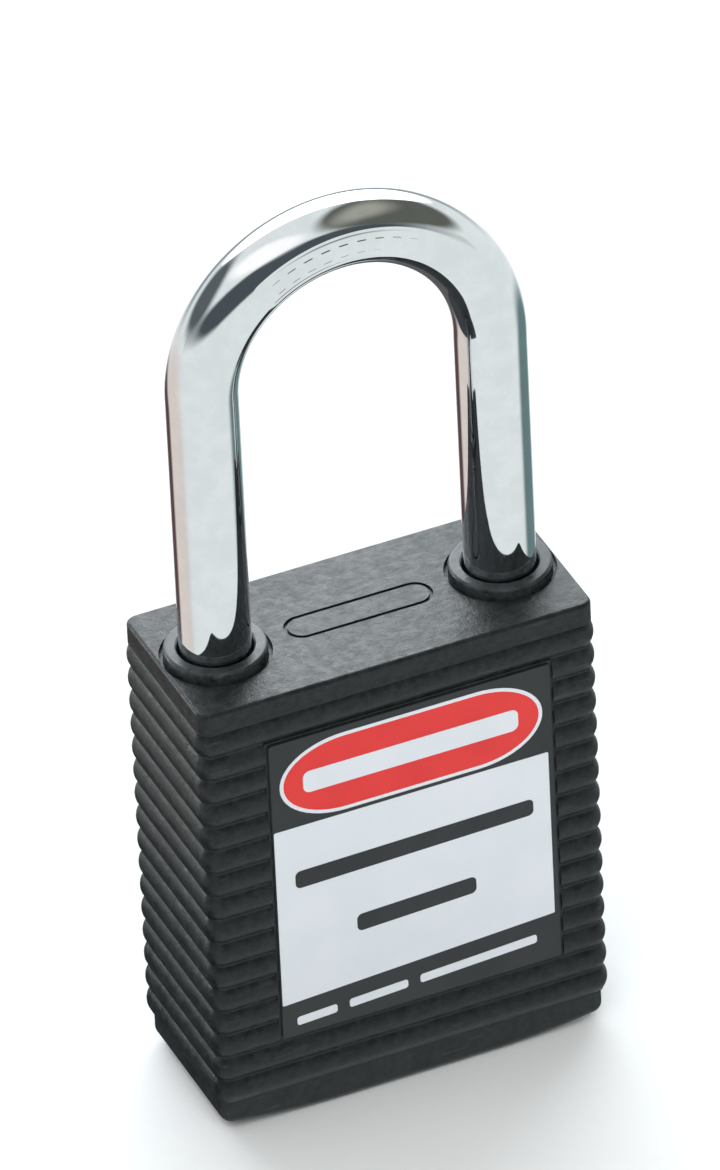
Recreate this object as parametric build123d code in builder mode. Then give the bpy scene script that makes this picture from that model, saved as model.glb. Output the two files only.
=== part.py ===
from build123d import *
import os
from math import atan, cos, hypot, pi, radians, sin

os.makedirs("parts", exist_ok=True)

# A safety padlock: a ribbed nylon jacket over an aluminium lock core, with a chromed steel shackle.
# Millimetres, +Z up. The origin is under the middle of the body, on the surface that it stands on.
# The label faces -Y, the heel leg of the shackle is on the -X side and the toe leg on the +X side.
# At rest the shackle is down and the plug is turned to its unlocked position.

# ---------------------------------------------------------------- driving dimensions

# Jacket
BODY_WIDTH = 38.0
BODY_DEPTH = 17.1
BODY_TOP = 46.2
CORNER_ROUND = 1.2
TOP_EDGE_ROUND = 0.35
JACKET_BOTTOM = 3.4
JACKET_ROOF = 1.6
RIB_COUNT = 16
RIB_HEIGHT = 0.38
RIB_ROOT = 0.5
RIB_GROOVE = 0.2
GROOVE_SET_IN = 0.16
TOP_BAND = 2.2
NAMEPLATE_LENGTH = 14.2
NAMEPLATE_WIDTH = 3.4
NAMEPLATE_LINE = 0.35
NAMEPLATE_DEPTH = 0.25

# Bottom cover
COVER_SET_IN = 0.18
BASE_FLAT = 14.0
BASE_CROWN = 1.0
COVER_EDGE_ROUND = 0.8
STUD_RADIUS = 1.1
STUD_LENGTH = 3.0

# Label
LABEL_WIDTH = 27.2
LABEL_OFFSET = 0.75
LABEL_BOTTOM = 9.0
LABEL_TOP = 41.2
LABEL_THICKNESS = 0.25
PAD_MARGIN = 0.25
BACK_PAD_SET_IN = 0.1

# How far a cutter reaches past what it cuts, and how near two levels count as the same
CUT_BEYOND = 1.0
SAME_LEVEL = 0.1

# Lock core
CORE_WIDTH = 36.0
CORE_DEPTH = 14.4
CORE_EDGE_ROUND = 0.5
CAVITY_GAP = 0.05

# Shackle
BAR_RADIUS = 3.25
LEG_SPACING = 27.5
HEEL_BEND_START = 73.73
HEEL_BEND_RADIUS = 13.26
TOE_BEND_ANGLE = 60
HEEL_END = 11.5
FOOT_LENGTH = 2.2
NECK_RADIUS = 2.4
NECK_TOP = 29.4
TOE_TIP = 34.2
TOE_CHAMFER = 0.9
HEEL_CHAMFER = 0.5
SHACKLE_LIFT = 13.2
LEG_GAP = 0.08

# Collars
COLLAR_RADIUS = 4.65
COLLAR_BORE = 3.45
COLLAR_TOP = 47.1
COLLAR_ROUND = 0.3
COLLAR_GROOVE_RADIUS = 5.05
COLLAR_GROOVE_DEPTH = 0.5

# Locking balls and their cam
BALL_RADIUS = 3.175
BALL_LEVEL = 38.6
BALL_INSIDE = 7.175
BALL_TRAVEL = 1.5
BALL_BORE_GAP = 0.045
BALL_CAM_GAP = 0.04
NOTCH_GAP = 0.1

# Cylinder
HOUSING_RADIUS = 5.9
HOUSING_FACE = 0.7
HOUSING_TOP = 28.5
TOWER_REACH = 16.0
TOWER_WIDTH = 5.8
PLUG_RADIUS = 4.25
RUNNING_GAP = 0.05
PIN_COUNT = 6
PIN_FIRST = 6.2
PIN_PITCH = 3.1
PIN_RADIUS = 1.4
CHAMBER_RADIUS = 1.45
CHAMBER_END = 14.9
DRIVER_LENGTH = 4.4
KEYWAY_WIDTH = 1.3
KEYWAY_WARD = 0.6
KEYWAY_TOP = 26.0
KEYWAY_UPPER_HEIGHT = 2.69

# ---------------------------------------------------------------- worked out from the above

GROOVE_X = BODY_WIDTH / 2 - GROOVE_SET_IN
GROOVE_Y = BODY_DEPTH / 2 - GROOVE_SET_IN
RIBS_TOP = BODY_TOP - TOP_BAND
RIB_PITCH = (RIBS_TOP - JACKET_BOTTOM) / RIB_COUNT
RIB_CENTRES = [JACKET_BOTTOM + RIB_PITCH * (n + 0.5) for n in range(RIB_COUNT)]
RIB_HALF_CHORD = (RIB_PITCH - RIB_GROOVE) / 2
RIB_ROUND = (RIB_HEIGHT**2 + RIB_HALF_CHORD**2) / (2 * RIB_HEIGHT)
CORE_TOP = BODY_TOP - JACKET_ROOF
LEG_X = LEG_SPACING / 2
LEG_BORE = BAR_RADIUS + LEG_GAP
HEEL = (-LEG_X, 0)
TOE = (LEG_X, 0)
# The arch is bent in two radii that meet smoothly at TOE_BEND_ANGLE above the level, on the toe side
MEET_COS = cos(radians(TOE_BEND_ANGLE))
MEET_SIN = sin(radians(TOE_BEND_ANGLE))
TOE_BEND_RADIUS = (LEG_SPACING - HEEL_BEND_RADIUS * (1 + MEET_COS)) / (1 - MEET_COS)
TOE_BEND_START = HEEL_BEND_START - (TOE_BEND_RADIUS - HEEL_BEND_RADIUS) * MEET_SIN
LABEL_FACE = GROOVE_Y + RIB_HEIGHT
PAD_FACE = LABEL_FACE - LABEL_THICKNESS
LABEL_MIDDLE = (LABEL_BOTTOM + LABEL_TOP) / 2
LABEL_HEIGHT = LABEL_TOP - LABEL_BOTTOM
BALL_OUTSIDE = BALL_INSIDE + BALL_TRAVEL
PIN_LEVELS = [PIN_FIRST + PIN_PITCH * n for n in range(PIN_COUNT)]


def hole_down(centre, radius, top, bottom):
    """Cut a round hole between two heights from the part that is being built."""
    with BuildSketch(Plane.XY.offset(bottom)) as disc:
        with Locations(centre):
            Circle(radius)
    extrude(disc.sketch, amount=top - bottom, mode=Mode.SUBTRACT)


def post_up(centre, radius, bottom, top):
    """Add a round post between two heights to the part that is being built."""
    with BuildSketch(Plane.XY.offset(bottom)) as disc:
        with Locations(centre):
            Circle(radius)
    extrude(disc.sketch, amount=top - bottom)


def save(finished, name):
    """Label a finished piece and write its file."""
    finished.part.label = name
    export_step(finished.part, f"parts/{name}.step")


# ---------------------------------------------------------------- outer jacket


def rib_comb(plane, groove):
    """Side view of all the ribs of one wall, on a plane whose X runs out through that wall."""
    with BuildSketch(plane) as comb:
        with Locations(*[(groove + RIB_HEIGHT - RIB_ROUND, level) for level in RIB_CENTRES]):
            Circle(RIB_ROUND)
        with Locations((groove + (RIB_HEIGHT - RIB_ROOT) / 2, (JACKET_BOTTOM + RIBS_TOP) / 2)):
            Rectangle(RIB_ROOT + RIB_HEIGHT, RIBS_TOP - JACKET_BOTTOM, mode=Mode.INTERSECT)
    return comb.sketch


def label_pad(wall, sideways, face):
    """Level the ribs of one wall to a flat field of the label's size, at the distance face."""
    with BuildSketch(wall) as field:
        with Locations((sideways, LABEL_MIDDLE)):
            Rectangle(LABEL_WIDTH + 2 * PAD_MARGIN, LABEL_HEIGHT + 2 * PAD_MARGIN)
    extrude(field.sketch, amount=face)
    with BuildSketch(wall.offset(face)) as rib_tips:
        with Locations((sideways, LABEL_MIDDLE)):
            Rectangle(LABEL_WIDTH + 2 * PAD_MARGIN, LABEL_HEIGHT + 2 * PAD_MARGIN)
    extrude(rib_tips.sketch, amount=RIB_HEIGHT, mode=Mode.SUBTRACT)


CORNER_X = GROOVE_X - CORNER_ROUND
CORNER_Y = GROOVE_Y - CORNER_ROUND

# One quarter of the ribs, mirrored to go all the way round
with BuildPart() as ribs:
    extrude(rib_comb(Plane.XZ, GROOVE_X), amount=-CORNER_Y)
    extrude(rib_comb(Plane.YZ, GROOVE_Y), amount=CORNER_X)
    corner_comb = rib_comb(Plane.XZ.offset(-CORNER_Y), GROOVE_X)
    revolve(corner_comb, axis=Axis((CORNER_X, CORNER_Y, 0), (0, 0, 1)), revolution_arc=90)
    mirror(about=Plane.YZ)
    mirror(about=Plane.XZ)

with BuildPart() as outer_jacket:
    with BuildSketch(Plane.XY.offset(JACKET_BOTTOM)):
        RectangleRounded(2 * GROOVE_X, 2 * GROOVE_Y, CORNER_ROUND)
    extrude(amount=BODY_TOP - JACKET_BOTTOM - TOP_BAND / 2)
    with BuildSketch(Plane.XY.offset(RIBS_TOP)):
        RectangleRounded(BODY_WIDTH, BODY_DEPTH, CORNER_ROUND)
    extrude(amount=TOP_BAND)
    fillet(outer_jacket.faces().sort_by(Axis.Z)[-1].edges(), TOP_EDGE_ROUND)
    add(ribs.part)
    # A flat pad for the label, and a plain one on the back
    label_pad(Plane.XZ, LABEL_OFFSET, PAD_FACE)
    back_wall = Plane((0, 0, 0), x_dir=(-1, 0, 0), z_dir=(0, 1, 0))
    label_pad(back_wall, LABEL_OFFSET, LABEL_FACE - BACK_PAD_SET_IN)
    # The space for the core, open at the bottom
    with BuildSketch(Plane.XY.offset(JACKET_BOTTOM)):
        Rectangle(CORE_WIDTH + 2 * CAVITY_GAP, CORE_DEPTH + 2 * CAVITY_GAP)
    extrude(amount=CORE_TOP - JACKET_BOTTOM, mode=Mode.SUBTRACT)
    # Collar holes, each with a shallow groove round it
    for leg in (HEEL, TOE):
        hole_down(leg, COLLAR_RADIUS + 0.5 * CAVITY_GAP, BODY_TOP, CORE_TOP)
        hole_down(leg, COLLAR_GROOVE_RADIUS, BODY_TOP, BODY_TOP - COLLAR_GROOVE_DEPTH)
    # Engraved outline of the blank nameplate on the top
    with BuildSketch(Plane.XY.offset(BODY_TOP - NAMEPLATE_DEPTH)):
        SlotOverall(NAMEPLATE_LENGTH, NAMEPLATE_WIDTH)
        SlotOverall(
            NAMEPLATE_LENGTH - 2 * NAMEPLATE_LINE, NAMEPLATE_WIDTH - 2 * NAMEPLATE_LINE, mode=Mode.SUBTRACT
        )
    extrude(amount=NAMEPLATE_DEPTH, mode=Mode.SUBTRACT)
save(outer_jacket, "outer_jacket")

# ---------------------------------------------------------------- bottom cover

COVER_X = GROOVE_X - COVER_SET_IN
COVER_Y = GROOVE_Y - COVER_SET_IN
CROWN_RUN = COVER_X - BASE_FLAT / 2
CROWN_RADIUS = (CROWN_RUN**2 + BASE_CROWN**2) / (2 * BASE_CROWN)
PLUG_OPENING = HOUSING_RADIUS + 0.1
DRAIN_RADIUS = 0.9
STUD_PLACES = [(-8.2, -5.2), (-8.2, 5.2), (11.0, -5.2), (11.0, 5.2)]

with BuildPart() as bottom_cover:
    with BuildSketch(Plane.XZ):
        with BuildLine():
            Line((0, JACKET_BOTTOM), (0, 0))
            Line((0, 0), (BASE_FLAT / 2, 0))
            RadiusArc((BASE_FLAT / 2, 0), (COVER_X, BASE_CROWN), -CROWN_RADIUS)
            Line((COVER_X, BASE_CROWN), (COVER_X, JACKET_BOTTOM))
            Line((COVER_X, JACKET_BOTTOM), (0, JACKET_BOTTOM))
        make_face()
        mirror(about=Plane.YZ)
    extrude(amount=COVER_Y, both=True)
    fillet(bottom_cover.edges().filter_by(Axis.Z), CORNER_ROUND)
    lower_rim = bottom_cover.edges().filter_by(
        lambda edge: edge.center().Z < JACKET_BOTTOM / 2
        and (
            abs(edge.center().Y) > COVER_Y - CORNER_ROUND / 2
            or abs(edge.center().X) > COVER_X - CORNER_ROUND / 2
        )
    )
    fillet(lower_rim, COVER_EDGE_ROUND)
    hole_down((0, 0), PLUG_OPENING, JACKET_BOTTOM, 0)
    hole_down(HEEL, DRAIN_RADIUS, JACKET_BOTTOM, 0)
    for place in STUD_PLACES:
        post_up(place, STUD_RADIUS, JACKET_BOTTOM, JACKET_BOTTOM + STUD_LENGTH)
save(bottom_cover, "bottom_cover")

# ---------------------------------------------------------------- lock core

HEEL_HOLE_END = 4.6
TOE_HOLE_END = 33.9
SCREW_RADIUS = 1.45
SCREW_HEAD_RADIUS = 2.4
SCREW_HEAD_LENGTH = 1.6
SCREW_END = 24.4
SCREW_GAP = 0.03
CYLINDER_GAP = 0.03
CAM_BORE_RADIUS = 5.65
CAM_BORE_TOP = 41.4
PIVOT_RADIUS = 1.5
PIVOT_TOP = 42.8
RETAINER_RADIUS = 1.0
RETAINER_X = -LEG_X + NECK_RADIUS + RETAINER_RADIUS + RUNNING_GAP
RETAINER_LEVEL = 28.0
PRESS_GAP = 0.01

with BuildPart() as lock_core:
    with BuildSketch(Plane.XY.offset(JACKET_BOTTOM)):
        RectangleRounded(CORE_WIDTH, CORE_DEPTH, CORE_EDGE_ROUND)
    extrude(amount=CORE_TOP - JACKET_BOTTOM)
    hole_down(HEEL, LEG_BORE, CORE_TOP, HEEL_HOLE_END)
    hole_down(HEEL, DRAIN_RADIUS, HEEL_HOLE_END, JACKET_BOTTOM)
    hole_down(TOE, LEG_BORE, CORE_TOP, TOE_HOLE_END)
    hole_down(TOE, SCREW_HEAD_RADIUS + SCREW_GAP, TOE_HOLE_END, TOE_HOLE_END - SCREW_HEAD_LENGTH)
    hole_down(TOE, SCREW_RADIUS + SCREW_GAP, TOE_HOLE_END, HOUSING_TOP)
    # The cavity for the cylinder: round for the plug, with a straight tower for the pins
    with BuildSketch(Plane.XY.offset(JACKET_BOTTOM)):
        Circle(HOUSING_RADIUS + CYLINDER_GAP)
        with Locations((TOWER_REACH / 2, 0)):
            Rectangle(TOWER_REACH + 2 * CYLINDER_GAP, TOWER_WIDTH + 2 * CYLINDER_GAP)
    extrude(amount=HOUSING_TOP + CYLINDER_GAP - JACKET_BOTTOM, mode=Mode.SUBTRACT)
    hole_down((0, 0), CAM_BORE_RADIUS, CAM_BORE_TOP, HOUSING_TOP)
    hole_down((0, 0), PIVOT_RADIUS + RUNNING_GAP, PIVOT_TOP + RUNNING_GAP, CAM_BORE_TOP)
    # The cross bore for the locking balls joins the two shackle holes
    with BuildSketch(Plane.YZ.offset(-LEG_X)):
        with Locations((0, BALL_LEVEL)):
            Circle(BALL_RADIUS + BALL_BORE_GAP)
    extrude(amount=LEG_SPACING, mode=Mode.SUBTRACT)
    with BuildSketch(Plane.XZ):
        with Locations((RETAINER_X, RETAINER_LEVEL)):
            Circle(RETAINER_RADIUS + PRESS_GAP)
    extrude(amount=CORE_DEPTH, both=True, mode=Mode.SUBTRACT)
    for place in STUD_PLACES:
        hole_down(place, STUD_RADIUS + SCREW_GAP, JACKET_BOTTOM + STUD_LENGTH + SCREW_GAP, JACKET_BOTTOM)
save(lock_core, "lock_core")

with BuildPart() as retaining_pin:
    with BuildSketch(Plane.XZ):
        with Locations((RETAINER_X, RETAINER_LEVEL)):
            Circle(RETAINER_RADIUS)
    extrude(amount=CORE_DEPTH / 2, both=True)
    chamfer(retaining_pin.edges().filter_by(GeomType.CIRCLE), 0.2 * RETAINER_RADIUS)
save(retaining_pin, "retaining_pin")

# ---------------------------------------------------------------- collars


def collar(centre):
    """A nylon collar round one leg of the shackle, pressed into the roof of the jacket."""
    with BuildPart() as made:
        post_up(centre, COLLAR_RADIUS, CORE_TOP, COLLAR_TOP)
        fillet(made.faces().sort_by(Axis.Z)[-1].edges(), COLLAR_ROUND)
        hole_down(centre, COLLAR_BORE, COLLAR_TOP, CORE_TOP)
        chamfer(made.faces().sort_by(Axis.Z)[-1].inner_wires()[0].edges(), 0.5 * COLLAR_ROUND)
    return made


save(collar(HEEL), "collar_heel")
save(collar(TOE), "collar_toe")

# ---------------------------------------------------------------- label

with BuildPart() as label:
    with BuildSketch(Plane.XZ.offset(PAD_FACE)):
        with Locations((LABEL_OFFSET, LABEL_MIDDLE)):
            RectangleRounded(LABEL_WIDTH, LABEL_HEIGHT, LABEL_THICKNESS)
    extrude(amount=LABEL_THICKNESS)
save(label, "label")

# ---------------------------------------------------------------- shackle

with BuildPart() as shackle:
    post_up(HEEL, BAR_RADIUS, HEEL_END, HEEL_BEND_START)
    post_up(TOE, BAR_RADIUS, TOE_TIP, TOE_BEND_START)
    chamfer(shackle.faces().sort_by(Axis.Z)[0].edges(), HEEL_CHAMFER)
    round_edges = shackle.edges().filter_by(GeomType.CIRCLE)
    chamfer(round_edges.filter_by(lambda edge: abs(edge.center().Z - TOE_TIP) < SAME_LEVEL), TOE_CHAMFER)
    with BuildSketch(Plane.XY.offset(HEEL_BEND_START)):
        with Locations(HEEL):
            Circle(BAR_RADIUS)
    heel_bend_axis = Axis((-LEG_X + HEEL_BEND_RADIUS, 0, HEEL_BEND_START), (0, 1, 0))
    revolve(axis=heel_bend_axis, revolution_arc=180 - TOE_BEND_ANGLE)
    with BuildSketch(Plane.XY.offset(TOE_BEND_START)):
        with Locations(TOE):
            Circle(BAR_RADIUS)
    toe_bend_axis = Axis((LEG_X - TOE_BEND_RADIUS, 0, TOE_BEND_START), (0, -1, 0))
    revolve(axis=toe_bend_axis, revolution_arc=TOE_BEND_ANGLE)
    # The neck that the retaining pin runs along, above the foot of the heel leg
    with BuildSketch(Plane.XY.offset(HEEL_END + FOOT_LENGTH)):
        with Locations(HEEL):
            Circle(BAR_RADIUS + CUT_BEYOND)
            Circle(NECK_RADIUS, mode=Mode.SUBTRACT)
    extrude(amount=NECK_TOP - HEEL_END - FOOT_LENGTH, mode=Mode.SUBTRACT)
    # Round notches that the locked balls enter
    with Locations((-BALL_OUTSIDE, 0, BALL_LEVEL), (BALL_OUTSIDE, 0, BALL_LEVEL)):
        Sphere(BALL_RADIUS + NOTCH_GAP, mode=Mode.SUBTRACT)
    # A hollow in the neck that faces the ball when the shackle is up
    with BuildSketch(Plane.XZ):
        with Locations((-BALL_OUTSIDE + NOTCH_GAP, BALL_LEVEL - SHACKLE_LIFT)):
            Circle(BALL_RADIUS + 2 * NOTCH_GAP)
    extrude(amount=BAR_RADIUS, both=True, mode=Mode.SUBTRACT)
save(shackle, "shackle")

# ---------------------------------------------------------------- locking balls


def locking_ball(side):
    """A steel ball in the cross bore, drawn in clear of the shackle."""
    with BuildPart() as made:
        with Locations((side * BALL_INSIDE, 0, BALL_LEVEL)):
            Sphere(BALL_RADIUS)
    return made


save(locking_ball(-1), "heel_ball")
save(locking_ball(1), "toe_ball")

# ---------------------------------------------------------------- actuator

ACTUATOR_BOTTOM = 30.05
ACTUATOR_RADIUS = 4.6
CAM_BOTTOM = 34.9
CAM_TOP = 41.2
TANG_LENGTH = 5.0
TANG_WIDTH = 1.9
TANG_TOP = 32.0
TANG_GAP = 0.03
CAM_STEPS = 9
CAM_RISE = BALL_TRAVEL / (pi / 2)
CAM_STAND_OFF = BALL_RADIUS + BALL_CAM_GAP


def cam_point(turn):
    """Cam surface for a ball that moves out evenly as the cam turns, with a steady gap to the ball."""
    reach = BALL_INSIDE + CAM_RISE * turn
    slope = hypot(reach, CAM_RISE)
    across = (CAM_RISE * sin(turn) + reach * cos(turn)) / slope
    along = (reach * sin(turn) - CAM_RISE * cos(turn)) / slope
    return (reach * cos(turn) - CAM_STAND_OFF * across, reach * sin(turn) - CAM_STAND_OFF * along)


CAM_POINTS = [cam_point(0.5 * pi * n / (CAM_STEPS - 1)) for n in range(CAM_STEPS)]
POCKET_HALF_ANGLE = atan(CAM_RISE / BALL_INSIDE) / 2
POCKET_MIDDLE = (
    BALL_INSIDE - CAM_STAND_OFF * cos(POCKET_HALF_ANGLE),
    CAM_STAND_OFF * sin(POCKET_HALF_ANGLE),
)
POCKET_FLOOR = (BALL_INSIDE - CAM_STAND_OFF, 0)

with BuildPart() as actuator:
    post_up((0, 0), ACTUATOR_RADIUS, ACTUATOR_BOTTOM, CAM_BOTTOM)
    with BuildSketch(Plane.XY.offset(CAM_BOTTOM)):
        with BuildLine():
            ThreePointArc(POCKET_FLOOR, POCKET_MIDDLE, CAM_POINTS[0])
            Spline(*CAM_POINTS)
            Line(CAM_POINTS[-1], (CAM_POINTS[-1][0], 0))
            Line((CAM_POINTS[-1][0], 0), POCKET_FLOOR)
        make_face()
        with Locations((CAM_BORE_RADIUS / 2, CAM_BORE_RADIUS / 2)):
            Rectangle(CAM_BORE_RADIUS, CAM_BORE_RADIUS, mode=Mode.INTERSECT)
        mirror(about=Plane.YZ)
        mirror(about=Plane.XZ)
    extrude(amount=CAM_TOP - CAM_BOTTOM)
    post_up((0, 0), PIVOT_RADIUS, CAM_TOP, PIVOT_TOP)
    with BuildSketch(Plane.XY.offset(ACTUATOR_BOTTOM)):
        Rectangle(TANG_WIDTH + 2 * TANG_GAP, TANG_LENGTH + 2 * TANG_GAP)
    extrude(amount=TANG_TOP + TANG_GAP - ACTUATOR_BOTTOM, mode=Mode.SUBTRACT)
save(actuator, "actuator")

# ---------------------------------------------------------------- cylinder housing

COVER_STRIP_THICKNESS = 1.0
COVER_STRIP_WIDTH = 3.6
COVER_STRIP_MARGIN = 2.1
STRIP_BOTTOM = PIN_LEVELS[0] - COVER_STRIP_MARGIN
STRIP_TOP = PIN_LEVELS[-1] + COVER_STRIP_MARGIN

with BuildPart() as cylinder_housing:
    post_up((0, 0), HOUSING_RADIUS, HOUSING_FACE, HOUSING_TOP)
    with BuildSketch(Plane.XY.offset(JACKET_BOTTOM)):
        with Locations((TOWER_REACH / 2, 0)):
            Rectangle(TOWER_REACH, TOWER_WIDTH)
    extrude(amount=HOUSING_TOP - JACKET_BOTTOM)
    hole_down((0, 0), PLUG_RADIUS + RUNNING_GAP, HOUSING_TOP, HOUSING_FACE)
    hole_down(TOE, SCREW_RADIUS + SCREW_GAP, HOUSING_TOP, SCREW_END - SCREW_GAP)
    with BuildSketch(Plane.YZ.offset(PLUG_RADIUS / 2)):
        with Locations(*[(0, level) for level in PIN_LEVELS]):
            Circle(CHAMBER_RADIUS)
    extrude(amount=CHAMBER_END - PLUG_RADIUS / 2, mode=Mode.SUBTRACT)
    with BuildSketch(Plane.YZ.offset(CHAMBER_END)):
        with Locations((0, (STRIP_BOTTOM + STRIP_TOP) / 2)):
            Rectangle(COVER_STRIP_WIDTH, STRIP_TOP - STRIP_BOTTOM)
    extrude(amount=TOWER_REACH - CHAMBER_END, mode=Mode.SUBTRACT)
save(cylinder_housing, "cylinder_housing")

with BuildPart() as chamber_cover:
    with BuildSketch(Plane.YZ.offset(CHAMBER_END)):
        with Locations((0, (STRIP_BOTTOM + STRIP_TOP) / 2)):
            Rectangle(COVER_STRIP_WIDTH - 2 * PRESS_GAP, STRIP_TOP - STRIP_BOTTOM - 2 * PRESS_GAP)
    extrude(amount=COVER_STRIP_THICKNESS)
save(chamber_cover, "chamber_cover")

SCREW_SLOT_WIDTH = 0.7
SCREW_SLOT_DEPTH = 0.8

with BuildPart() as cylinder_screw:
    post_up(TOE, SCREW_RADIUS, SCREW_END, TOE_HOLE_END - SCREW_HEAD_LENGTH)
    post_up(TOE, SCREW_HEAD_RADIUS, TOE_HOLE_END - SCREW_HEAD_LENGTH, TOE_HOLE_END)
    with BuildSketch(Plane.XY.offset(TOE_HOLE_END - SCREW_SLOT_DEPTH)):
        with Locations(TOE):
            Rectangle(2 * SCREW_HEAD_RADIUS, SCREW_SLOT_WIDTH)
    extrude(amount=SCREW_SLOT_DEPTH, mode=Mode.SUBTRACT)
save(cylinder_screw, "cylinder_screw")

# ---------------------------------------------------------------- plug, with its retaining ring

TAIL_RADIUS = 3.6
TAIL_TOP = 30.0
RING_GROOVE_RADIUS = 2.65
RING_OUTSIDE = 5.0
RING_THICKNESS = 0.7
RING_GAP = 0.04
RING_OPENING = 3.4
PLUG_LOWEST_CUT = -3.4
PLUG_WARD_CUT = 0.4

with BuildPart() as plug:
    post_up((0, 0), PLUG_RADIUS, HOUSING_FACE, HOUSING_TOP)
    post_up((0, 0), TAIL_RADIUS, HOUSING_TOP, TAIL_TOP)
    with BuildSketch(Plane.XY.offset(TAIL_TOP)):
        Rectangle(TANG_WIDTH, TANG_LENGTH)
    extrude(amount=TANG_TOP - TAIL_TOP)
    with BuildSketch(Plane.XY.offset(HOUSING_TOP)):
        Circle(TAIL_RADIUS + CUT_BEYOND)
        Circle(RING_GROOVE_RADIUS, mode=Mode.SUBTRACT)
    extrude(amount=RING_THICKNESS + 2 * RING_GAP, mode=Mode.SUBTRACT)
    # The keyway is cranked, so that only its own key enters
    with BuildSketch(Plane.XY.offset(HOUSING_FACE)):
        with Locations((-KEYWAY_WARD / 2, (PLUG_LOWEST_CUT + PLUG_WARD_CUT) / 2)):
            Rectangle(KEYWAY_WIDTH, PLUG_WARD_CUT - PLUG_LOWEST_CUT)
        with Locations((KEYWAY_WARD / 2, (PLUG_RADIUS - PLUG_WARD_CUT) / 2)):
            Rectangle(KEYWAY_WIDTH, KEYWAY_UPPER_HEIGHT)
    extrude(amount=KEYWAY_TOP - HOUSING_FACE, mode=Mode.SUBTRACT)
    # Pin chambers, a quarter turn away from those of the housing
    with BuildSketch(Plane.XZ):
        with Locations(*[(0, level) for level in PIN_LEVELS]):
            Circle(CHAMBER_RADIUS)
    extrude(amount=-PLUG_RADIUS, mode=Mode.SUBTRACT)
save(plug, "plug")

with BuildPart() as plug_ring:
    with BuildSketch(Plane.XY.offset(HOUSING_TOP + RING_GAP)):
        Circle(RING_OUTSIDE)
        Circle(RING_GROOVE_RADIUS + RING_GAP, mode=Mode.SUBTRACT)
        with Locations((0, -RING_OUTSIDE / 2)):
            Rectangle(RING_OPENING, RING_OUTSIDE, mode=Mode.SUBTRACT)
    extrude(amount=RING_THICKNESS)
save(plug_ring, "plug_ring")

# ---------------------------------------------------------------- pins and springs

KEY_PIN_OUTER_END = 4.0
KEY_PIN_SHORTEST = 2.4
KEY_PIN_STEP = 0.4
KEY_CUTS = [2, 4, 1, 3, 0, 3]
PIN_TIP = 0.6
DRIVER_CHAMFER = 0.21
DRIVER_INNER_END = PLUG_RADIUS + RUNNING_GAP
SPRING_WIRE = 0.2
SPRING_COIL = 1.1
SPRING_TURNS = 5
SPRING_START = DRIVER_INNER_END + DRIVER_LENGTH + SPRING_WIRE
SPRING_END = CHAMBER_END - SPRING_WIRE

with BuildPart() as key_pins:
    for level, cut in zip(PIN_LEVELS, KEY_CUTS):
        pin_length = KEY_PIN_SHORTEST + KEY_PIN_STEP * cut
        with BuildSketch(Plane((0, KEY_PIN_OUTER_END, level), x_dir=(1, 0, 0), z_dir=(0, -1, 0))):
            Circle(PIN_RADIUS)
        extrude(amount=pin_length)
    pin_ends = key_pins.faces().filter_by(Plane.XZ)
    chamfer(pin_ends.filter_by(lambda face: face.center().Y < KEY_PIN_OUTER_END / 2).edges(), PIN_TIP)
save(key_pins, "key_pins")

with BuildPart() as driver_pins:
    with BuildSketch(Plane.YZ.offset(DRIVER_INNER_END)):
        with Locations(*[(0, level) for level in PIN_LEVELS]):
            Circle(PIN_RADIUS)
    extrude(amount=DRIVER_LENGTH)
    chamfer(driver_pins.edges().filter_by(GeomType.CIRCLE), DRIVER_CHAMFER)
save(driver_pins, "driver_pins")


def coil_spring(start, along, length, coil_radius, wire_radius, turns):
    """A coil spring of round wire, from the middle of its first turn."""
    with BuildPart() as made:
        with BuildLine() as coil:
            Helix(pitch=length / turns, height=length, radius=coil_radius, center=start, direction=along)
        with BuildSketch(Plane(coil.line @ 0, z_dir=coil.line % 0)):
            Circle(wire_radius)
        sweep(is_frenet=True)
    return made


pin_spring = coil_spring(
    (SPRING_START, 0, 0), (1, 0, 0), SPRING_END - SPRING_START, SPRING_COIL, SPRING_WIRE, SPRING_TURNS
)
with BuildPart() as pin_springs:
    with Locations(*[(0, 0, level) for level in PIN_LEVELS]):
        add(pin_spring.part)
save(pin_springs, "pin_springs")

LIFT_SPRING_WIRE = 0.4
LIFT_SPRING_COIL = 2.5
LIFT_SPRING_TURNS = 6
LIFT_SPRING_START = HEEL_HOLE_END + LIFT_SPRING_WIRE
LIFT_SPRING_END = HEEL_END - LIFT_SPRING_WIRE

shackle_spring = coil_spring(
    (*HEEL, LIFT_SPRING_START),
    (0, 0, 1),
    LIFT_SPRING_END - LIFT_SPRING_START,
    LIFT_SPRING_COIL,
    LIFT_SPRING_WIRE,
    LIFT_SPRING_TURNS,
)
save(shackle_spring, "shackle_spring")
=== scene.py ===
import math

import bmesh
import bpy
from mathutils import Matrix, Vector


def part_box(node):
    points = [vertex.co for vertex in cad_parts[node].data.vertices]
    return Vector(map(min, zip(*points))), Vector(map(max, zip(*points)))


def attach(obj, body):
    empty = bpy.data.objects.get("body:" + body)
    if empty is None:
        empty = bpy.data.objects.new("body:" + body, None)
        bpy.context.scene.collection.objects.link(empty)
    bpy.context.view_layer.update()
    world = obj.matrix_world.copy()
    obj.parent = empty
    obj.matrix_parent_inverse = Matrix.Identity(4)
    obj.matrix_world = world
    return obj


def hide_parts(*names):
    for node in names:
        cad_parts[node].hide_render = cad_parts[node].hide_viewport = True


# The looks of a safety padlock: black ribbed nylon body, printed label, chromed shackle.
# Everything is in metres in the frame of the CAD model; small dimensions are written times MM.

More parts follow.
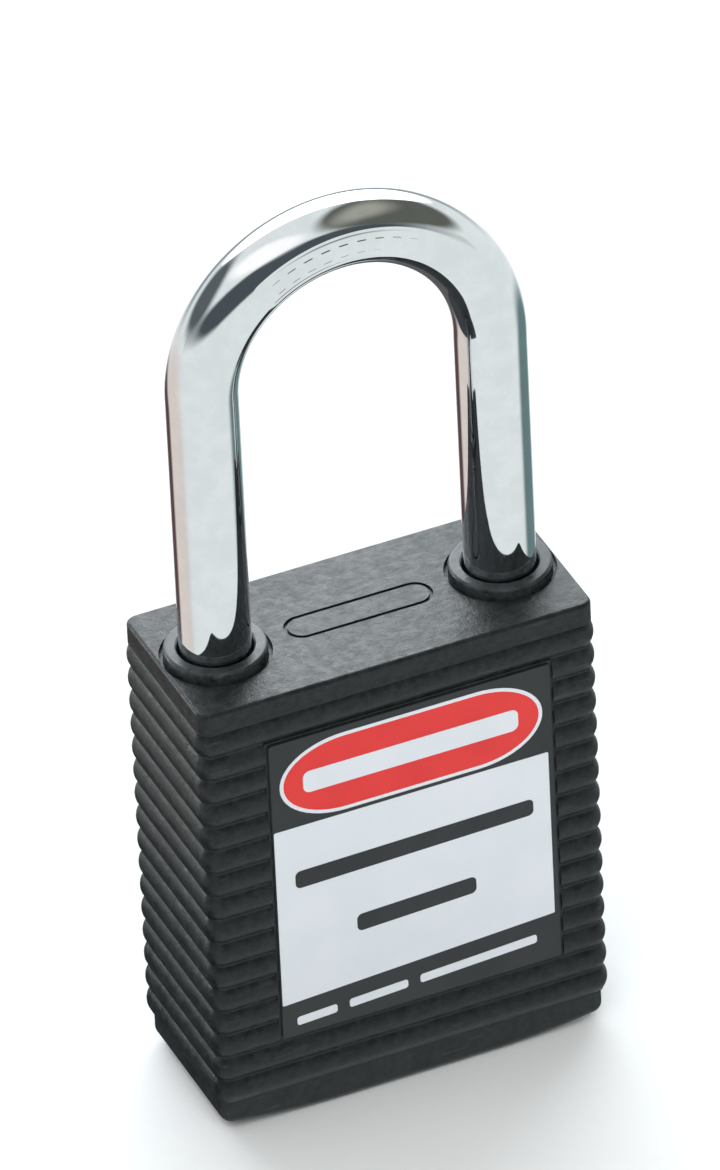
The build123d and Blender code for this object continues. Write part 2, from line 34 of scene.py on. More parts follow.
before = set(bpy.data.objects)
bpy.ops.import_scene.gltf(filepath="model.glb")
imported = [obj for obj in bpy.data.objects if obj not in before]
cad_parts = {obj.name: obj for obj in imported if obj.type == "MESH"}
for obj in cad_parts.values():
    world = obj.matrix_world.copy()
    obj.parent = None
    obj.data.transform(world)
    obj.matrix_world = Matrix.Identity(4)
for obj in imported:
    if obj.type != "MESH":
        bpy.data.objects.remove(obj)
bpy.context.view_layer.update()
MM = 0.001


# ---------------------------------------------------------------- node helpers


class Graph:
    """Short calls for building a node tree.

    A value may be a number, a vector or another node's socket.
    """

    def __init__(self, tree):
        self.tree = tree
        self.tree.nodes.clear()

    def put(self, socket, value):
        if isinstance(value, bpy.types.NodeSocket):
            self.tree.links.new(value, socket)
        elif value is not None:
            socket.default_value = value

    def node(self, kind, inputs=None, **settings):
        made = self.tree.nodes.new(kind)
        for key, value in settings.items():
            setattr(made, key, value)
        for key, value in (inputs or {}).items():
            self.put(made.inputs[key], value)
        return made

    def math(self, operation, a, b=None, c=None):
        made = self.node("ShaderNodeMath", operation=operation)
        for socket, value in zip(made.inputs, (a, b, c)):
            self.put(socket, value)
        return made.outputs[0]

    def remap(self, value, low, high, to_low=0.0, to_high=1.0):
        inputs = {"Value": value, "From Min": low, "From Max": high, "To Min": to_low, "To Max": to_high}
        return self.node("ShaderNodeMapRange", inputs, interpolation_type="SMOOTHSTEP").outputs[0]

    def window(self, value, low, high, soft):
        """1 between low and high, falling smoothly to 0 over soft at each side."""
        rise = self.remap(value, low - soft, low + soft)
        fall = self.remap(value, high - soft, high + soft, 1.0, 0.0)
        return self.math("MULTIPLY", rise, fall)

    def place(self, scale=(1.0, 1.0, 1.0)):
        """Object coordinates, which are the frame's own metres, stretched by scale."""
        coordinates = self.node("ShaderNodeTexCoord").outputs["Object"]
        return self.node("ShaderNodeMapping", {"Vector": coordinates, "Scale": scale}).outputs[0]

    def noise(self, size, detail=3.0, roughness=0.5, place=None):
        """Noise whose features are about size metres across."""
        inputs = {
            "Vector": place or self.place(),
            "Scale": 1.0 / size,
            "Detail": detail,
            "Roughness": roughness,
        }
        return self.node("ShaderNodeTexNoise", inputs).outputs["Fac"]

    def blend(self, factor, a, b):
        made = self.node("ShaderNodeMix", data_type="RGBA")
        self.put(made.inputs[0], factor)
        self.put(made.inputs[6], a)
        self.put(made.inputs[7], b)
        return made.outputs[2]

    def bump(self, height, depth, strength=1.0, normal=None):
        inputs = {"Height": height, "Distance": depth, "Strength": strength, "Normal": normal}
        return self.node("ShaderNodeBump", inputs).outputs[0]


def surface(name, paint):
    """A material whose Principled shader is filled in by paint(graph), which returns its inputs."""
    material = bpy.data.materials.new(name)
    material.use_nodes = True
    graph = Graph(material.node_tree)
    shader = graph.node("ShaderNodeBsdfPrincipled", paint(graph))
    output = graph.node("ShaderNodeOutputMaterial")
    graph.tree.links.new(shader.outputs[0], output.inputs["Surface"])
    return material


def rgb(r, g, b):
    return (r, g, b, 1.0)


# ---------------------------------------------------------------- materials


def moulded_nylon(shade, gloss, grain_depth):
    """Black glass-filled nylon: a fine moulded grain, faint flow marks and slightly shiny scuffs."""

    def paint(g):
        grain = g.noise(0.16 * MM, 4.0, 0.6)
        mottle = g.noise(0.95 * MM, 5.0, 0.62)
        flow = g.noise(7.0 * MM, 2.0, 0.5, g.place((1.0, 1.0, 0.35)))
        scuffs = g.noise(0.5 * MM, 2.0, 0.4, g.place((0.12, 1.0, 1.0)))
        scuff_mask = g.remap(scuffs, 0.66, 0.74)
        dark = rgb(0.5 * shade, 0.6 * shade, 0.64 * shade)
        light = rgb(1.3 * shade, 1.55 * shade, 1.64 * shade)
        tone = g.blend(g.remap(mottle, 0.3, 0.72), dark, light)
        worn = rgb(3.2 * shade, 3.5 * shade, 3.6 * shade)
        tone = g.blend(g.math("MULTIPLY", scuff_mask, 0.35), tone, worn)
        dullness = g.remap(mottle, 0.3, 0.7, gloss - 0.08, gloss + 0.1)
        dullness = g.math("MULTIPLY_ADD", flow, 0.1, dullness)
        dullness = g.math("MULTIPLY_ADD", scuff_mask, -0.08, dullness)
        height = g.math("MULTIPLY_ADD", mottle, 3.0, grain)
        return {
            "Base Color": tone,
            "Roughness": dullness,
            "Normal": g.bump(height, grain_depth),
            "Specular IOR Level": 0.26,
        }

    return paint


def chrome(g):
    """Decorative chrome: nearly a mirror, with the bar's slow polished waves and hairline wipe marks."""
    waves = g.noise(3.5 * MM, 2.0, 0.5, g.place((1.0, 1.0, 0.45)))
    wipes = g.noise(0.28 * MM, 2.0, 0.5, g.place((1.0, 1.0, 0.06)))
    haze = g.noise(2.2 * MM, 4.0, 0.6)
    tint = g.blend(g.remap(haze, 0.35, 0.7), rgb(0.735, 0.74, 0.765), rgb(0.785, 0.795, 0.81))
    haze_dulls = g.remap(haze, 0.45, 0.8, 0.035, 0.085)
    wipes_dull = g.remap(wipes, 0.62, 0.8, 0.0, 0.06)
    roughness = g.math("ADD", haze_dulls, wipes_dull)
    relief = g.math("MULTIPLY_ADD", wipes, 0.012, waves)
    return {
        "Base Color": tint,
        "Metallic": 1.0,
        "Roughness": roughness,
        "Normal": g.bump(relief, 0.018 * MM, 0.6),
    }


def printed_film(colour, second, gloss):
    """Printed polyester film: even ink with fine speckle, slightly uneven gloss and faint orange peel."""

    def paint(g):
        speckle = g.noise(0.25 * MM, 3.0, 0.55)
        cloud = g.noise(6.0 * MM, 3.0, 0.5)
        peel = g.noise(0.9 * MM, 2.0, 0.5)
        ink = g.blend(g.remap(cloud, 0.35, 0.65), colour, second)
        ink = g.blend(g.remap(speckle, 0.62, 0.8, 0.0, 0.25), ink, second)
        return {
            "Base Color": ink,
            "Roughness": g.remap(cloud, 0.3, 0.7, gloss, gloss + 0.1),
            "Normal": g.bump(g.math("MULTIPLY_ADD", speckle, 0.2, peel), 0.006 * MM),
            "Specular IOR Level": 0.42,
        }

    return paint


def metal(colour, second, roughness, grain_size, stretch, depth):
    """Worked metal: tool marks along one direction, tarnish in patches, scratches in the roughness."""

    def paint(g):
        marks = g.noise(grain_size, 3.0, 0.6, g.place(stretch))
        patches = g.noise(2.4 * MM, 4.0, 0.6)
        tone = g.blend(g.remap(patches, 0.35, 0.7), colour, second)
        patches_dull = g.remap(patches, 0.3, 0.75, roughness - 0.05, roughness + 0.08)
        rough = g.math("MULTIPLY_ADD", marks, 0.14, patches_dull)
        return {
            "Base Color": tone,
            "Metallic": 1.0,
            "Roughness": rough,
            "Normal": g.bump(marks, depth),
        }

    return paint


EVEN = (1.0, 1.0, 1.0)
TURNED = (1.0, 1.0, 8.0)
DRAWN_UP = (1.0, 1.0, 0.05)
DRAWN_ACROSS = (0.05, 1.0, 1.0)

NYLON_SHADE = 0.0145
jacket_nylon = surface("jacket_nylon", moulded_nylon(NYLON_SHADE, 0.33, 0.026 * MM))
cover_nylon = surface("cover_nylon", moulded_nylon(1.1 * NYLON_SHADE, 0.38, 0.016 * MM))
# The collars' base colour is 2.4 times the jacket's. This is painted sheen: it stands in for the light that
# catches the collar tops.
collar_nylon_painted_sheen = surface("collar_nylon_painted_sheen", moulded_nylon(2.4 * NYLON_SHADE, 0.28, 0.008 * MM))
bar_chrome = surface("bar_chrome", chrome)
film_black = surface("film_black", printed_film(rgb(0.012, 0.014, 0.016), rgb(0.018, 0.02, 0.022), 0.3))
film_white = surface("film_white", printed_film(rgb(0.7, 0.73, 0.77), rgb(0.73, 0.75, 0.79), 0.36))
film_red = surface("film_red", printed_film(rgb(0.7, 0.021, 0.02), rgb(0.75, 0.03, 0.026), 0.34))
brass_turned = surface(
    "brass_turned", metal(rgb(0.78, 0.56, 0.25), rgb(0.66, 0.45, 0.2), 0.24, 0.3 * MM, TURNED, 0.004 * MM)
)
brass_plain = surface(
    "brass_plain",
    metal(rgb(0.72, 0.52, 0.24), rgb(0.58, 0.4, 0.18), 0.32, 0.25 * MM, DRAWN_UP, 0.004 * MM),
)
steel_plain = surface(
    "steel_plain", metal(rgb(0.5, 0.5, 0.52), rgb(0.4, 0.4, 0.41), 0.3, 0.2 * MM, DRAWN_UP, 0.003 * MM)
)
steel_sintered = surface(
    "steel_sintered",
    metal(rgb(0.42, 0.42, 0.42), rgb(0.3, 0.3, 0.3), 0.48, 0.12 * MM, EVEN, 0.008 * MM),
)
steel_polished = surface(
    "steel_polished",
    metal(rgb(0.66, 0.66, 0.69), rgb(0.6, 0.6, 0.62), 0.1, 0.4 * MM, EVEN, 0.001 * MM),
)
spring_wire = surface(
    "spring_wire",
    metal(rgb(0.36, 0.36, 0.38), rgb(0.28, 0.28, 0.3), 0.28, 0.15 * MM, EVEN, 0.002 * MM),
)
aluminium_milled = surface(
    "aluminium_milled",
    metal(rgb(0.72, 0.73, 0.75), rgb(0.62, 0.63, 0.66), 0.36, 0.35 * MM, DRAWN_ACROSS, 0.006 * MM),
)

CAD_LOOKS = {
    "outer_jacket": jacket_nylon,
    "bottom_cover": cover_nylon,
    "collar_heel": collar_nylon_painted_sheen,
    "collar_toe": collar_nylon_painted_sheen,
    "lock_core": aluminium_milled,
    "cylinder_housing": brass_plain,
    "chamber_cover": brass_plain,
    "plug": brass_turned,
    "key_pins": brass_turned,
    "driver_pins": steel_plain,
    "cylinder_screw": steel_plain,
    "retaining_pin": steel_plain,
    "plug_ring": spring_wire,
    "pin_springs": spring_wire,
    "shackle_spring": spring_wire,
    "actuator": steel_sintered,
    "heel_ball": steel_polished,
    "toe_ball": steel_polished,
}

for node, look in CAD_LOOKS.items():
    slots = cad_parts[node].material_slots
    for slot in slots:
        slot.material = look


def new_piece(name, mesh, material, body):
    """Link a finished mesh as a piece of the object that rides on a CAD body."""
    piece = bpy.data.objects.new(name, mesh)
    bpy.context.scene.collection.objects.link(piece)
    mesh.materials.append(material)
    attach(piece, body)
    return piece


# ---------------------------------------------------------------- shackle

shackle_low, shackle_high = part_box("shackle")
BAR = (shackle_high.y - shackle_low.y) / 2
LEG_X = shackle_high.x - BAR
HEEL_BEND_RADIUS = 13.26 * MM
HEEL_BEND_Z = shackle_high.z - BAR - HEEL_BEND_RADIUS
TOE_BEND_ANGLE = math.radians(60)
MEET_COS = math.cos(TOE_BEND_ANGLE)
TOE_BEND_RADIUS = (2 * LEG_X - HEEL_BEND_RADIUS * (1 + MEET_COS)) / (1 - MEET_COS)
TOE_BEND_Z = HEEL_BEND_Z - (TOE_BEND_RADIUS - HEEL_BEND_RADIUS) * math.sin(TOE_BEND_ANGLE)
HEEL_END = shackle_low.z
TOE_END = 34.2 * MM
HEEL_CHAMFER = 0.5 * MM
TOE_CHAMFER = 0.9 * MM
FOOT_TOP = HEEL_END + 2.2 * MM
NECK_TOP = 29.4 * MM
NECK_RADIUS = 2.4 * MM
BALL_OUTSIDE = 8.675 * MM
NOTCH_RADIUS = 3.275 * MM
NOTCH_LEVEL = 38.6 * MM
HOLLOW_LEVEL = 25.4 * MM
HOLLOW_X = 8.575 * MM
HOLLOW_RADIUS = 3.375 * MM

# The shallow stadium-shaped recess on the lower front of the arch, in angles round the arch from the toe
# side and round the bar from its outer line towards the front
RECESS_MIDDLE = (math.radians(88.5), math.radians(90.0))
RECESS_LENGTH = 19.8 * MM
RECESS_WIDTH = 2.9 * MM
RECESS_DEPTH = 0.09 * MM
RECESS_SHOULDER = 0.17 * MM
MARK_COUNT = 10
MARK_PITCH = 1.65 * MM
MARK_LENGTH = 1.0 * MM
MARK_WIDTH = 1.2 * MM
MARK_HEIGHT = 0.04 * MM
MARK_SHOULDER = 0.13 * MM

# How finely the bar's mesh follows its features
FINE_SECTION = math.radians(1.3)
COARSE_SECTION = math.radians(3.5)
FINE_TURN = math.radians(0.45)
COARSE_TURN = math.radians(1.6)
FINE_RISE = 0.14 * MM
COARSE_RISE = 1.1 * MM
FINE_FROM = 0.2 * MM
BEND_CLEARANCE = 0.5 * MM
RECESS_MARGIN = 0.6 * MM
STEP_MARGIN = 0.4 * MM
HEEL_END_MARGIN = 0.8 * MM
TOE_END_MARGIN = 1.2 * MM
BALL_MARGIN = 3.0 * MM
SHARP_ANGLE = math.radians(38.0)


def smooth(value):
    """Smooth step from 0 to 1."""
    value = min(1.0, max(0.0, value))
    return value * value * (3.0 - 2.0 * value)


def slot_distance(along, across, length, width):
    """Distance outside a stadium shape, negative inside."""
    along = max(0.0, abs(along) - (length - width) / 2)
    return math.hypot(along, across) - width / 2


def arch_sink(turn, section):
    """How far the arch lies under the round bar, at an angle of the arch and of the section."""
    along = (turn - RECESS_MIDDLE[0]) * (HEEL_BEND_RADIUS + BAR * math.cos(RECESS_MIDDLE[1]))
    across = (section - RECESS_MIDDLE[1]) * BAR
    outside = slot_distance(along, across, RECESS_LENGTH, RECESS_WIDTH)
    if outside > RECESS_SHOULDER:
        return 0.0
    floor = smooth(0.5 - outside / RECESS_SHOULDER) * RECESS_DEPTH
    # Plain raised blocks in a row, where the real bar has a stamped word
    row = along / MARK_PITCH + (MARK_COUNT - 1) / 2
    nearest = min(MARK_COUNT - 1, max(0, round(row)))
    block_along = abs(along - (nearest - (MARK_COUNT - 1) / 2) * MARK_PITCH) - MARK_LENGTH / 2
    block_across = abs(across) - MARK_WIDTH / 2
    block = max(block_along, block_across)
    return floor - smooth(0.5 - block / MARK_SHOULDER) * MARK_HEIGHT


def leg_radius(side, z, direction):
    """Radius of a leg at a height, in a level direction, with its neck, chamfers and ball notches."""
    radius = BAR
    if side < 0:
        radius = min(radius, BAR - HEEL_CHAMFER + max(0.0, z - HEEL_END))
        if FOOT_TOP < z < NECK_TOP:
            radius = NECK_RADIUS
    else:
        radius = min(radius, BAR - TOE_CHAMFER + max(0.0, z - TOE_END))
    axis = Vector((side * LEG_X, 0.0, z))
    to_ball = axis - Vector((side * BALL_OUTSIDE, 0.0, NOTCH_LEVEL))
    radius = cut_by(radius, to_ball, direction, NOTCH_RADIUS)
    if side < 0:
        flat_direction = Vector((direction.x, 0.0, 0.0))
        to_hollow = axis - Vector((-HOLLOW_X, 0.0, HOLLOW_LEVEL))
        radius = cut_by(radius, to_hollow, flat_direction, HOLLOW_RADIUS)
    return radius


def cut_by(radius, offset, direction, round_radius):
    """Shorten a radius to where its line, which starts offset from a round cutter's middle, enters it."""
    a = direction.length_squared
    b = offset.dot(direction)
    c = offset.length_squared - round_radius**2
    inside = b * b - a * c
    if inside <= 0.0 or b >= 0.0 or a < 1e-9:
        return radius
    enters = (-b - math.sqrt(inside)) / a
    return min(radius, max(0.0, enters))


def steps(start, end, step):
    count = max(1, math.ceil(abs(end - start) / step))
    return [start + (end - start) * n / count for n in range(count)]


def section_angles():
    """Angles round the bar, closer together across the recess."""
    margin = RECESS_WIDTH / BAR * 0.75
    low = RECESS_MIDDLE[1] - margin
    high = RECESS_MIDDLE[1] + margin
    return steps(low, high, FINE_SECTION) + steps(high, low + 2 * math.pi, COARSE_SECTION)


def leg_heights(bend_z, end, features):
    """Heights of the rings of one leg, from its end to the arch, close together at its features."""
    heights = []
    z = end
    while z < bend_z - BEND_CLEARANCE:
        heights.append(z)
        near = any(low - FINE_FROM <= z <= high for low, high in features)
        z += FINE_RISE if near else COARSE_RISE
    return heights


def shackle_rings():
    """Rings of points from the heel's end, over the arch, to the toe's end."""
    angles = section_angles()
    rings = []
    heel_features = [
        (HEEL_END, HEEL_END + HEEL_END_MARGIN),
        (FOOT_TOP - STEP_MARGIN, FOOT_TOP + STEP_MARGIN),
        (HOLLOW_LEVEL - BALL_MARGIN, NECK_TOP + STEP_MARGIN),
        (NOTCH_LEVEL - BALL_MARGIN, NOTCH_LEVEL + BALL_MARGIN),
    ]
    toe_features = [
        (TOE_END, TOE_END + TOE_END_MARGIN),
        (NOTCH_LEVEL - BALL_MARGIN, NOTCH_LEVEL + BALL_MARGIN),
    ]

    def leg_ring(side, z):
        ring = []
        for angle in angles:
            direction = Vector((side * math.cos(angle), -math.sin(angle), 0.0))
            ring.append(Vector((side * LEG_X, 0.0, z)) + leg_radius(side, z, direction) * direction)
        return ring

    for z in leg_heights(HEEL_BEND_Z, HEEL_END, heel_features):
        rings.append(leg_ring(-1, z))
    recess_radius = HEEL_BEND_RADIUS + BAR * math.cos(RECESS_MIDDLE[1])
    reach = (RECESS_LENGTH / 2 + RECESS_MARGIN) / recess_radius
    first, last = RECESS_MIDDLE[0] + reach, RECESS_MIDDLE[0] - reach
    turns = steps(math.pi, first, COARSE_TURN) + steps(first, last, FINE_TURN)
    turns += steps(last, 0.0, COARSE_TURN) + [0.0]
    for turn in turns:
        outward = Vector((math.cos(turn), 0.0, math.sin(turn)))
        if turn >= TOE_BEND_ANGLE:
            middle = Vector((HEEL_BEND_RADIUS - LEG_X, 0.0, HEEL_BEND_Z)) + HEEL_BEND_RADIUS * outward
        else:
            middle = Vector((LEG_X - TOE_BEND_RADIUS, 0.0, TOE_BEND_Z)) + TOE_BEND_RADIUS * outward
        ring = []
        for angle in angles:
            direction = outward * math.cos(angle) - Vector((0.0, 1.0, 0.0)) * math.sin(angle)
            depth = BAR - arch_sink(turn, angle)
            ring.append(middle + depth * direction)
        rings.append(ring)
    for z in reversed(leg_heights(TOE_BEND_Z, TOE_END, toe_features)):
        rings.append(leg_ring(1, z))
    return rings


def tube(name, rings):
    """A closed smooth mesh through rings of equal count, with flat ends."""
    mesh = bpy.data.meshes.new(name)
    count = len(rings[0])
    points = [point for ring in rings for point in ring]
    faces = []
    for r in range(len(rings) - 1):
        for n in range(count):
            a, b = r * count + n, r * count + (n + 1) % count
            faces.append((a, a + count, b + count, b))
    faces.append(tuple(range(count)))
    faces.append(tuple(len(points) - 1 - n for n in range(count)))
    mesh.from_pydata(points, [], faces)
    bm = bmesh.new()
    bm.from_mesh(mesh)
    bmesh.ops.recalc_face_normals(bm, faces=bm.faces)
    bm.to_mesh(mesh)
    bm.free()
    mesh.shade_smooth()
    mesh.set_sharp_from_angle(angle=SHARP_ANGLE)
    return mesh


shackle_bar = new_piece("shackle_bar", tube("shackle_bar", shackle_rings()), bar_chrome, "shackle")
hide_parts("shackle")


# ---------------------------------------------------------------- label

label_low, label_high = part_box("label")
LABEL_FACE = label_low.y
FILM_BACK = label_high.y
BLACK_FACE = LABEL_FACE + 0.05 * MM
PRINT_FACE = LABEL_FACE + 0.025 * MM
BAR_FACE = LABEL_FACE + 0.005 * MM
PRINT_MIDDLE = (label_low.x + label_high.x) / 2

# The print runs slightly downhill to the heel side, more so towards the foot of the label
SLOPE_FROM = 31.7 * MM
SLOPE_TO = 13.3 * MM
SLOPE_WIDTH = 26.6 * MM
SLOPE_DROP = 1.35 * MM

FILM_CORNER = 0.35 * MM
FILM_EDGE = 0.06 * MM
PRINT_EDGE = 0.005 * MM
PRINT_SINK = 0.01 * MM
CORNER_STEPS = 14
PANEL_LEFT = 0.12 * MM
PANEL_RIGHT = 0.5 * MM
PANEL_CORNER = 0.15 * MM
OVAL_MARGIN = 0.9 * MM
OVAL_FOOT = 32.1 * MM
OVAL_HEAD = 40.45 * MM
OVAL_FACE = LABEL_FACE + 0.015 * MM
OUTLINE_WIDTH = 0.36 * MM
RIM_ROUND = (6.3 * MM, 4.17 * MM)
OVAL_ROUND = (6.0 * MM, 3.81 * MM)


def tilted(x, z):
    """Where a point of the level artwork lies on the label."""
    share = min(1.0, max(0.0, (SLOPE_FROM - z) / (SLOPE_FROM - SLOPE_TO)))
    return x, z + SLOPE_DROP * share * (x - PRINT_MIDDLE) / SLOPE_WIDTH


def rounded_box(x0, x1, z0, z1, radius_x, radius_z=None):
    """Outline of a rectangle with elliptical corners."""
    radius_z = radius_z or radius_x
    outline = []
    corners = [(x1 - radius_x, z1 - radius_z), (x0 + radius_x, z1 - radius_z),
               (x0 + radius_x, z0 + radius_z), (x1 - radius_x, z0 + radius_z)]
    for quarter, (cx, cz) in enumerate(corners):
        for n in range(CORNER_STEPS + 1):
            angle = math.pi / 2 * (quarter + n / CORNER_STEPS)
            outline.append((cx + radius_x * math.cos(angle), cz + radius_z * math.sin(angle)))
    return outline


def film(name, outline, face, back, material, edge):
    """A flat piece of film with a rolled edge, from an outline in the label's plane."""
    bm = bmesh.new()
    ring = [bm.verts.new((x, back, z)) for x, z in outline]
    sheet = bm.faces.new(ring)
    bmesh.ops.recalc_face_normals(bm, faces=bm.faces)
    lifted = bmesh.ops.extrude_face_region(bm, geom=[sheet])
    front = [v for v in lifted["geom"] if isinstance(v, bmesh.types.BMVert)]
    bmesh.ops.translate(bm, verts=front, vec=(0.0, face - back, 0.0))
    front_set = set(front)
    rim = [e for e in bm.edges if all(v in front_set for v in e.verts)]
    bmesh.ops.bevel(bm, geom=rim, offset=min(edge, 0.45 * abs(face - back)), segments=2, affect="EDGES")
    bmesh.ops.recalc_face_normals(bm, faces=bm.faces)
    mesh = bpy.data.meshes.new(name)
    bm.to_mesh(mesh)
    bm.free()
    return new_piece(name, mesh, material, "body")


def print_piece(name, outline, face, material):
    """A printed patch of the label, a hair proud of the film."""
    on_slope = [tilted(x, z) for x, z in outline]
    piece = film(name, on_slope, face, BLACK_FACE + PRINT_SINK, material, PRINT_EDGE)
    return piece


label_film = film(
    "label_film",
    rounded_box(label_low.x, label_high.x, label_low.z, label_high.z, FILM_CORNER),
    BLACK_FACE, FILM_BACK, film_black, FILM_EDGE,
)
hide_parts("label")

print_piece(
    "label_panel",
    rounded_box(label_low.x + PANEL_LEFT, label_high.x - PANEL_RIGHT, SLOPE_TO, SLOPE_FROM, PANEL_CORNER),
    PRINT_FACE, film_white,
)
OVAL = (label_low.x + OVAL_MARGIN, label_high.x - OVAL_MARGIN, OVAL_FOOT, OVAL_HEAD)
print_piece("label_oval_rim", rounded_box(*OVAL, *RIM_ROUND), PRINT_FACE, film_white)
print_piece(
    "label_oval",
    rounded_box(
        OVAL[0] + OUTLINE_WIDTH, OVAL[1] - OUTLINE_WIDTH,
        OVAL[2] + OUTLINE_WIDTH, OVAL[3] - OUTLINE_WIDTH,
        *OVAL_ROUND,
    ),
    OVAL_FACE, film_red,
)

# Plain bars where the real label has words: left end, right end, foot, head, colour
WORD_BARS = {
    "bar_top": (-9.7, 11.1, 35.1, 37.4, film_white),
    "bar_upper": (-10.9, 12.2, 25.2, 27.0, film_black),
    "bar_lower": (-5.2, 6.4, 18.6, 20.4, film_black),
    "bar_foot_a": (-11.4, -7.5, 10.7, 11.6, film_white),
    "bar_foot_b": (-6.3, -0.6, 10.7, 11.6, film_white),
    "bar_foot_c": (0.6, 12.0, 10.7, 11.6, film_white),
}
for name, (x0, x1, z0, z1, material) in WORD_BARS.items():
    round_end = 0.3 * (z1 - z0) * MM
    print_piece(name, rounded_box(x0 * MM, x1 * MM, z0 * MM, z1 * MM, round_end), BAR_FACE, material)


# ---------------------------------------------------------------- camera

CAMERA_AZIMUTH = -22.554
CAMERA_ELEVATION = 35.814
CAMERA_ROLL = -2.815
CAMERA_DISTANCE = 1.6
CAMERA_LENS = 557.7
AIM_HEIGHT = 40 * MM
AIM_SIDE = 0.101 * MM
AIM_LIFT = -7.216 * MM


def camera_axes():
    """Right, up and back directions of the camera."""
    azimuth, elevation, roll = (math.radians(a) for a in (CAMERA_AZIMUTH, CAMERA_ELEVATION, CAMERA_ROLL))
    back = Vector((
        math.sin(azimuth) * math.cos(elevation),
        -math.cos(azimuth) * math.cos(elevation),
        math.sin(elevation),
    ))
    level = Vector((math.cos(azimuth), math.sin(azimuth), 0.0))
    upright = back.cross(level)
    right = level * math.cos(roll) + upright * math.sin(roll)
    up = upright * math.cos(roll) - level * math.sin(roll)
    return right, up, back


right, up, back = camera_axes()
camera_data = bpy.data.cameras.new("camera")
camera_data.sensor_fit = "AUTO"
camera_data.sensor_width = 36.0
camera_data.lens = CAMERA_LENS
camera_data.clip_start = 0.01
camera_data.clip_end = 20.0
camera = bpy.data.objects.new("camera", camera_data)
bpy.context.scene.collection.objects.link(camera)
place = Vector((0.0, 0.0, AIM_HEIGHT)) - AIM_SIDE * right - AIM_LIFT * up + CAMERA_DISTANCE * back
camera.matrix_world = Matrix.Translation(place) @ Matrix((right, up, back)).transposed().to_4x4()
bpy.context.scene.camera = camera
bpy.context.scene.view_settings.view_transform = "Standard"


# ---------------------------------------------------------------- studio

FLOOR_HALF = 3.0
floor_corners = [
    (-FLOOR_HALF, -FLOOR_HALF, 0), (FLOOR_HALF, -FLOOR_HALF, 0),
    (FLOOR_HALF, FLOOR_HALF, 0), (-FLOOR_HALF, FLOOR_HALF, 0),
]
floor_mesh = bpy.data.meshes.new("floor")
floor_mesh.from_pydata(floor_corners, [], [(0, 1, 2, 3)])
floor = bpy.data.objects.new("floor", floor_mesh)
bpy.context.scene.collection.objects.link(floor)


def paper(g):
    fibres = g.noise(1.5 * MM, 3.0, 0.6)
    tone = g.blend(fibres, rgb(0.88, 0.88, 0.885), rgb(0.9, 0.9, 0.905))
    # Seen from below, the floor is clear, so that it doesn't hide the object's underside
    from_above = g.math("SUBTRACT", 1.0, g.node("ShaderNodeNewGeometry").outputs["Backfacing"])
    return {"Base Color": tone, "Roughness": 0.9, "Specular IOR Level": 0.1, "Alpha": from_above}


floor_mesh.materials.append(surface("studio_paper", paper))
# The chrome mirrors the tent all the way round, so the floor shows only its own light and shadow
floor.visible_glossy = False

# A black card just under the floor, from the heel side of the body outwards. Only reflections reach it.
# It darkens the side's mirror image of the bright tent, and it stops at the body's outline, clear of the
# underside.
jacket_low, jacket_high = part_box("outer_jacket")
CARD_REACH = 60 * MM
CARD_START = 85
CARD_END = 215
CARD_STEPS = 26
CARD_DEPTH = -0.5 * MM
HEEL_WALL = -LEG_X - jacket_low.x
LONG_WALL = jacket_high.y
SMALLEST = 1e-6


def card_point(turn, distance):
    return -LEG_X + distance * math.cos(turn), distance * math.sin(turn), CARD_DEPTH


def to_outline(turn):
    """Distance from the heel leg's axis to the body's outline, in a direction."""
    to_heel_wall = HEEL_WALL / max(SMALLEST, -math.cos(turn))
    to_long_wall = LONG_WALL / max(SMALLEST, abs(math.sin(turn)))
    return min(to_heel_wall, to_long_wall)


card_points = []
for n in range(CARD_STEPS + 1):
    turn = math.radians(CARD_START + (CARD_END - CARD_START) * n / CARD_STEPS)
    card_points += [card_point(turn, to_outline(turn)), card_point(turn, CARD_REACH)]
card_faces = [(2 * n, 2 * n + 1, 2 * n + 3, 2 * n + 2) for n in range(CARD_STEPS)]
card_mesh = bpy.data.meshes.new("card")
card_mesh.from_pydata(card_points, [], card_faces)
card = bpy.data.objects.new("card", card_mesh)
bpy.context.scene.collection.objects.link(card)


def black_card(g):
    fibres = g.noise(1.5 * MM, 3.0, 0.6)
    return {"Base Color": g.blend(fibres, rgb(0.02, 0.022, 0.024), rgb(0.03, 0.032, 0.034)), "Roughness": 0.9}


card_mesh.materials.append(surface("black_card", black_card))
card.visible_camera = False
card.visible_diffuse = False
card.visible_shadow = False


# The studio round the chrome, from back to front: a name, the bearing and height of the middle, half the
# width and height, the softness of the edge, all in degrees but the last, and the light. Seen from the
# camera, a leg mirrors only the ring at height -36. Over the arch, from its outer rim inwards, the bar
# mirrors the back, the ceiling, the front and the low front.
PANELS = [
    ("top_flag", -15, 46, 42, 36, 0.12, (0.13, 0.14, 0.12)),
    ("top_glow", -20, 58, 26, 13, 0.6, (0.42, 0.43, 0.37)),
    ("front_flag", -112, 25, 72, 19, 0.15, (0.08, 0.1, 0.11)),
    ("left_flag", 145, 20, 32, 18, 0.3, (0.12, 0.14, 0.15)),
    ("strip_light", -150, 60, 34, 15, 0.3, (1.3, 1.3, 1.3)),
    ("back_box", 72, 28, 38, 28, 0.08, (4.4, 4.7, 4.9)),
    ("side_shade", 112, -60, 40, 20, 0.2, (0.12, 0.12, 0.12)),
    ("warm_side", 142, -30, 30, 20, 0.5, (0.84, 0.76, 0.7)),
    ("left_edge", 106, -36, 14, 10, 0.4, (0.12, 0.07, 0.07)),
    ("right_edge", 12, -38, 24, 14, 0.3, (0.16, 0.25, 0.25)),
    ("back_horizon", 76, -10, 36, 9, 0.4, (0.3, 0.36, 0.38)),
]
ROOM_LIGHT = (0.9, 0.96, 0.95)


